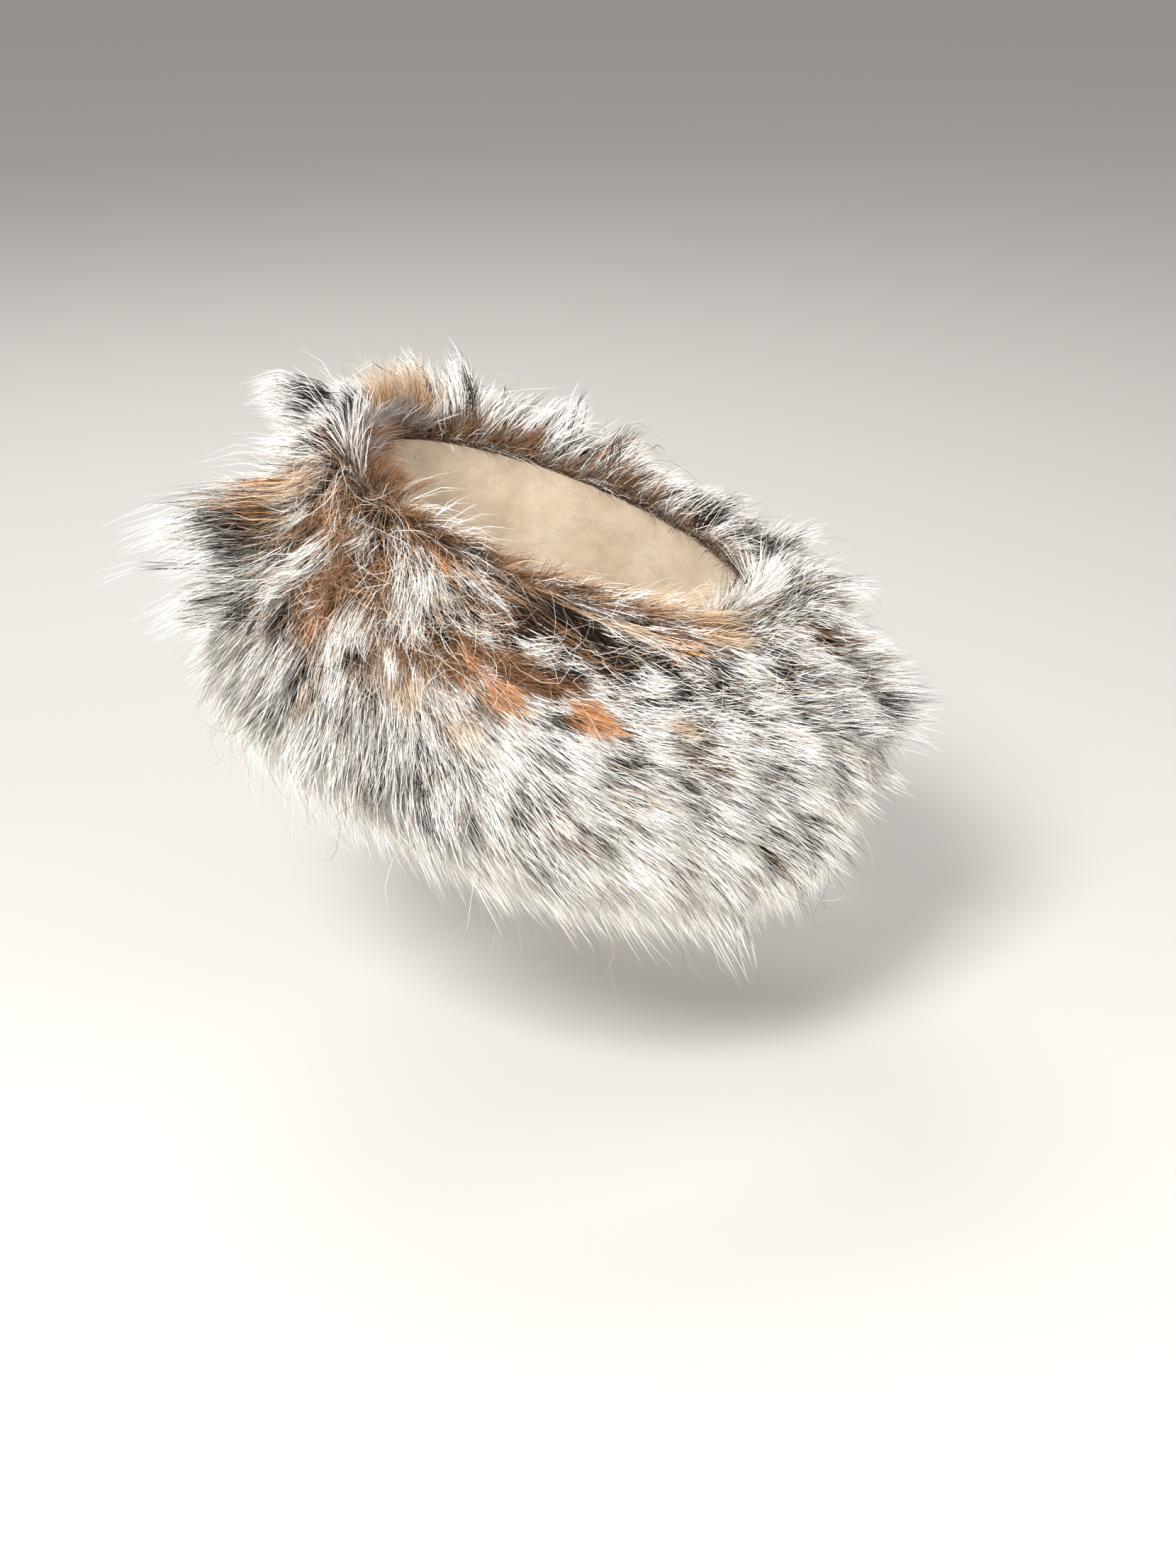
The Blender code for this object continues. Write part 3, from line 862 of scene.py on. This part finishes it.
class HEADBAND_OT_coat(bpy.types.Operator):
    """Grows the long guard hair, as four pieces round the band"""

    bl_idname = "headband.coat"
    bl_label = "Grow coat"

    STATIONS = (0, 0.42, 0.74, 1)
    PROFILE = (0.8, 1, 0.85, 0)
    SIDES = ("nape", "far", "front", "near")
    ROOT_SPREAD = 0.004
    ROOT_RADIUS = 0.1
    TIP_SPREAD = 0.001
    TIP_RADIUS = 0.13
    WAVE = 0.0008
    RIDGE = 0.008

    def execute(self, context):
        coat = context.scene.headband_coat
        band, chance = Band(), np.random.default_rng(5)
        azimuth, share, height = guide_hairs(band, coat, chance)
        top = band.hide(azimuth, np.full(len(azimuth), HIDE_THICKNESS), np.zeros(len(azimuth)))
        tip = band.pile(azimuth, share, height)
        reach = np.linalg.norm(tip - top, axis=1) / coat.hair_length
        weight = 0.5 + 0.5 * smooth_step(reach, 0.25, 0.7)
        per_clump = weight / weight.sum() * coat.hairs
        hairs = np.floor(per_clump + chance.random(len(weight))).astype(int)
        clump = np.repeat(np.arange(len(azimuth)), hairs)
        count = len(clump)

        # The hair's lie, and its kind where it is mostly seen
        swirl = 0.5 * (noise(chance, azimuth, share, 24, 5) - 0.5) + chance.normal(0, 0.12, len(azimuth))
        growth = coat.saddle_length + (1 - coat.saddle_length) * smooth_step(share, 0.2, 0.6)
        length = coat.hair_length * growth
        start, down, turn = root_places(band, azimuth, share, height, length, swirl)
        lean = lean_at(azimuth, share) + swirl
        seen = share - SEEN_BACK * length * np.cos(lean) / band.column(band.length, azimuth)
        kinds = choose_kinds(band, chance, coat, azimuth - SEEN_BACK * turn, seen, clump)

        # Pale hair that grows along the ridge of the saddle is frosted
        pale = np.isin(kinds, [KINDS.index(kind) for kind in ("white", "silver", "ash")])
        saddle = periodic(COAT_COLUMNS, COAT, azimuth)["saddle"][clump]
        frosted = chance.random(count) < 0.8 * smooth_step(saddle, 0.05, 0.30)
        kinds = np.where(pale & frosted & (down[clump] < self.RIDGE), KINDS.index("frost"), kinds)

        # Each hair from its root, over its middle, to its tip. High tips are reached in an arch
        spread = chance.normal(0, 1, (count, 3))
        root_azimuth = start[clump] + np.degrees(spread[:, 0] * self.ROOT_SPREAD / self.ROOT_RADIUS)
        root_down = np.clip(down[clump] + spread[:, 1] * self.ROOT_SPREAD, 0, HIDE_HEIGHT)
        root = band.hide(root_azimuth, np.full(count, HIDE_THICKNESS), root_down)
        loose = 1 + 1.4 * smooth_step(share, 0.72, 0.95)[clump]
        aside = chance.normal(0, self.TIP_SPREAD, count) * loose / self.TIP_RADIUS
        tip_azimuth = azimuth[clump] + np.degrees(aside)
        tip_share = share[clump] + chance.normal(0, 0.010, count) * loose
        tip_height = height[clump] + chance.normal(0, 0.0012, count)
        tip = band.pile(tip_azimuth, tip_share, tip_height)
        arch = 0.35 * smooth_step(height, 0.026, 0.042)
        level = np.interp(root_down / HIDE_HEIGHT, (0, 0.1, 1.0), (0.08, 0.30, 0.84))
        middle = band.pile(
            tip_azimuth - 0.45 * turn[clump] + chance.normal(0, 1.0, count),
            (level + tip_share) / 2 - 0.3 * arch[clump],
            (0.40 + arch[clump]) * tip_height - 0.009 + chance.normal(0, 0.002, count),
        )
        cut = 1 - (0.12 + 0.08 * loose) * chance.random(count)
        points = curve(root, middle, tip, self.STATIONS, cut)
        wave = chance.normal(0, self.WAVE, (count, len(self.STATIONS), 3))
        points += wave * np.array(self.STATIONS)[None, :, None]
        axis, normal = unit(points[:, -1] - points[:, 1]), band.cell(band.normal, tip_azimuth, tip_share)
        facing = turned(normal, axis, chance.normal(0, 0.7, count))
        width = coat.hair_width * chance.uniform(0.6, 1.3, count)
        tone = tones(chance, kinds)
        side = ((tip_azimuth + 45) % 360 // 90).astype(int)
        for number, name in enumerate(self.SIDES):
            here = side == number
            blades = (part[here] for part in (points, width, facing, tone))
            make_piece(f"coat_{name}", *blades, self.PROFILE)
        return {"FINISHED"}


class HEADBAND_OT_wisps(bpy.types.Operator):
    """Grows the wisps and the short fur along the top edge of the hide"""

    bl_idname = "headband.wisps"
    bl_label = "Grow wisps"

    RIM_HAIRS = 7000
    RIM_KINDS = {"brown": 0.46, "ash": 0.28, "tan": 0.16, "silk": 0.10}
    STATIONS = (0, 0.35, 0.7, 1)
    PROFILE = (1, 1, 0.75, 0)

    def execute(self, context):
        coat = context.scene.headband_coat
        band, chance = Band(), np.random.default_rng(8)
        up = np.array((0.0, 0.0, 1.0))
        azimuth, reach, kinds, aim = [], [], [], []
        for kind, low, high, count, hairs, length, out, around, rise in WISPS:
            clumps = chance.uniform(low, high, count)
            tilt = chance.normal(0, 0.22, (count, 3)) + (out, around, rise)
            clump = np.repeat(np.arange(count), hairs)
            azimuth.append(clumps[clump] + chance.normal(0, 1.3, len(clump)))
            scale = chance.uniform(0.7, 1.15, count)[clump]
            reach.append(length * scale * chance.uniform(0.75, 1, len(clump)))
            aim.append(tilt[clump] + chance.normal(0, 0.10, (len(clump), 3)))
            kinds.append(np.full(len(clump), KINDS.index(kind)))
        azimuth.append(chance.uniform(0, 360, self.RIM_HAIRS))
        reach.append(chance.uniform(0.006, 0.022, self.RIM_HAIRS))
        around = 0.8 * np.sin(lean_at(azimuth[-1], np.zeros(self.RIM_HAIRS)))
        out = chance.normal(-0.1, 0.6, self.RIM_HAIRS)
        tilt = np.stack((out, around, np.full(self.RIM_HAIRS, 0.6)), axis=1)
        aim.append(tilt + chance.normal(0, 0.3, tilt.shape))
        rim = [KINDS.index(kind) for kind in self.RIM_KINDS]
        kinds.append(chance.choice(rim, self.RIM_HAIRS, p=tuple(self.RIM_KINDS.values())))
        azimuth, reach, aim, kinds = (np.concatenate(part) for part in (azimuth, reach, aim, kinds))
        count = len(azimuth)
        root = band.hide(azimuth, chance.uniform(0.0002, HIDE_THICKNESS, count), np.full(count, 0.0005))
        axes = [band.column(g, azimuth) for g in (band.out, band.round)]
        way = unit(axes[0] * aim[:, :1] + axes[1] * aim[:, 1:2] + up * aim[:, 2:])
        tip = root + way * reach[:, None]
        tip[:, 2] -= 0.12 * reach
        middle = root + way * (0.5 * reach)[:, None] + up * (0.16 * reach)[:, None]
        points = curve(root, middle, tip, self.STATIONS, np.ones(count))
        wave = chance.normal(0, 0.03, points.shape)
        points += wave * np.array(self.STATIONS)[None, :, None] * reach[:, None, None]
        facing = turned(unit(axes[0] + 0.8 * up), way, chance.normal(0, 0.8, count))
        width = coat.hair_width * chance.uniform(0.5, 0.95, count)
        make_piece("wisps", points, width, facing, tones(chance, kinds), self.PROFILE)
        return {"FINISHED"}


class HEADBAND_OT_strays(bpy.types.Operator):
    """Lays single fine hairs over the coat and lets some stand out of it"""

    bl_idname = "headband.strays"
    bl_label = "Grow stray hairs"

    STATIONS = (0, 0.2, 0.4, 0.6, 0.8, 1)
    PROFILE = (1, 1, 0.9, 0.8, 0.6, 0)
    OVER_SADDLE = 0.4
    STRAY_KINDS = {"silk": 0.20, "tan": 0.55, "black": 0.25}

    def execute(self, context):
        coat = context.scene.headband_coat
        band, chance = Band(), np.random.default_rng(13)
        count = coat.stray_hairs
        over = chance.random(count) < self.OVER_SADDLE
        azimuth = np.where(over, chance.uniform(190, 252, count), chance.uniform(0, 360, count))
        share = np.where(over, chance.uniform(0.02, 0.5, count), chance.uniform(0.05, 1.0, count))
        reach = chance.uniform(0.018, 0.042, count)
        lean = lean_at(azimuth, share) + chance.normal(0, 0.8, count)
        radius, length = band.cell(band.radius, azimuth, share), band.column(band.length, azimuth)
        rise = np.where(over, chance.uniform(0.001, 0.006, count), chance.uniform(0.006, 0.022, count))
        root = band.pile(azimuth, share, np.full(count, -0.004))
        ends = azimuth + np.degrees(reach * np.sin(lean) / radius), share + reach * np.cos(lean) / length
        tip = band.pile(*ends, rise)
        bow = chance.normal(0, 0.55, count) * reach
        middle = band.pile(
            (azimuth + ends[0]) / 2 + np.degrees(bow * np.cos(lean) / radius),
            (share + ends[1]) / 2 - bow * np.sin(lean) / length, rise * 0.8 + 0.002,
        )
        points = curve(root, middle, tip, self.STATIONS, np.ones(count))
        points += chance.normal(0, 0.0007, points.shape) * np.array(self.STATIONS)[None, :, None]
        fine = [KINDS.index(kind) for kind in self.STRAY_KINDS]
        kinds = chance.choice(fine, count, p=tuple(self.STRAY_KINDS.values()))
        normal = band.cell(band.normal, azimuth, share)
        facing = turned(normal, unit(tip - root), chance.normal(0, 0.5, count))
        width = coat.hair_width * chance.uniform(0.25, 0.50, count)
        make_piece("stray_hairs", points, width, facing, tones(chance, kinds), self.PROFILE)
        return {"FINISHED"}


class HEADBAND_OT_stage(bpy.types.Operator):
    """Sets the floor, the light and the camera"""

    bl_idname = "headband.stage"
    bl_label = "Set stage"

    FLOOR_REACH = 8
    ROOM_TINT = (1.0, 0.975, 0.94, 1)
    SENSOR = 36.0

    # Where each softbox stands and the length of its side, in metres
    SOFTBOXES = {
        "key": ((-0.6, -1.3, 1.3), 0.6),
        "fill": ((1.2, -0.9, 0.4), 1.2),
        "back": ((-0.4, 1.1, 1.2), 1.0),
    }

    def execute(self, context):
        stage = context.scene.headband_stage
        finish = Finish("Pale floor")
        material = finish.surface(Base_Color=tuple(stage.floor_colour), Roughness=0.9)
        mesh = bpy.data.meshes.new("floor")
        directions = ((-1, -1), (1, -1), (1, 1), (-1, 1))
        corners = [(x * self.FLOOR_REACH, y * self.FLOOR_REACH, stage.floor_level) for x, y in directions]
        mesh.from_pydata(corners, [], [(0, 1, 2, 3)])
        mesh.materials.append(material)
        floor = bpy.data.objects.new("floor", mesh)
        context.scene.collection.objects.link(floor)
        for name, (place, size) in self.SOFTBOXES.items():
            power = getattr(stage, f"{name}_power")
            self.add_softbox(context, f"{name.capitalize()} light", power, place, size)
        world = bpy.data.worlds.new("Room")
        world.use_nodes = True
        sky = world.node_tree.nodes["Background"]
        sky.inputs["Color"].default_value = self.ROOM_TINT
        sky.inputs["Strength"].default_value = stage.sky
        context.scene.world = world
        context.scene.view_settings.view_transform = "Standard"
        data = bpy.data.cameras.new("Camera")
        data.sensor_width, data.lens = self.SENSOR, stage.lens
        camera = bpy.data.objects.new("Camera", data)
        camera.location = stage.camera_place
        camera.rotation_euler = (math.radians(90) - stage.camera_pitch, 0, 0)
        context.scene.collection.objects.link(camera)
        context.scene.camera = camera
        return {"FINISHED"}

    def add_softbox(self, context, name, power, place, size):
        """A square area light that faces the headband."""
        data = bpy.data.lights.new(name, "AREA")
        data.energy, data.size = power, size
        light = bpy.data.objects.new(name, data)
        light.location = place
        light.rotation_euler = (-light.location).to_track_quat("-Z", "Y").to_euler()
        context.scene.collection.objects.link(light)


class HEADBAND_PT_panel(bpy.types.Panel):
    """Lists the headband's settings and steps"""

    bl_label = "Headband"
    bl_space_type = "VIEW_3D"
    bl_region_type = "UI"
    bl_category = "Headband"

    def draw(self, context):
        for group in GROUPS:
            settings = getattr(context.scene, group)
            box = self.layout.box()
            for key in settings.__annotations__:
                box.prop(settings, key)
        for step in STEPS:
            self.layout.operator(step.bl_idname)


STEPS = (
    HEADBAND_OT_hide, HEADBAND_OT_underfur, HEADBAND_OT_coat, HEADBAND_OT_wisps, HEADBAND_OT_strays,
    HEADBAND_OT_stage,
)
GROUPS = {
    "headband_hide": HideSettings,
    "headband_coat": CoatSettings,
    "headband_stage": StageSettings,
}
CLASSES = (*GROUPS.values(), *STEPS, HEADBAND_PT_panel)


def register():
    """Registers the classes and their settings."""
    for part in CLASSES:
        bpy.utils.register_class(part)
    for name, group in GROUPS.items():
        setattr(bpy.types.Scene, name, bpy.props.PointerProperty(type=group))


def unregister():
    """Takes the settings and classes away again."""
    for name in GROUPS:
        delattr(bpy.types.Scene, name)
    for part in reversed(CLASSES):
        bpy.utils.unregister_class(part)


def main():
    """Builds the dressed headband."""
    register()
    bpy.ops.headband.hide()
    bpy.ops.headband.underfur()
    bpy.ops.headband.coat()
    bpy.ops.headband.wisps()
    bpy.ops.headband.strays()
    bpy.ops.headband.stage()


if __name__ == "__main__":
    main()
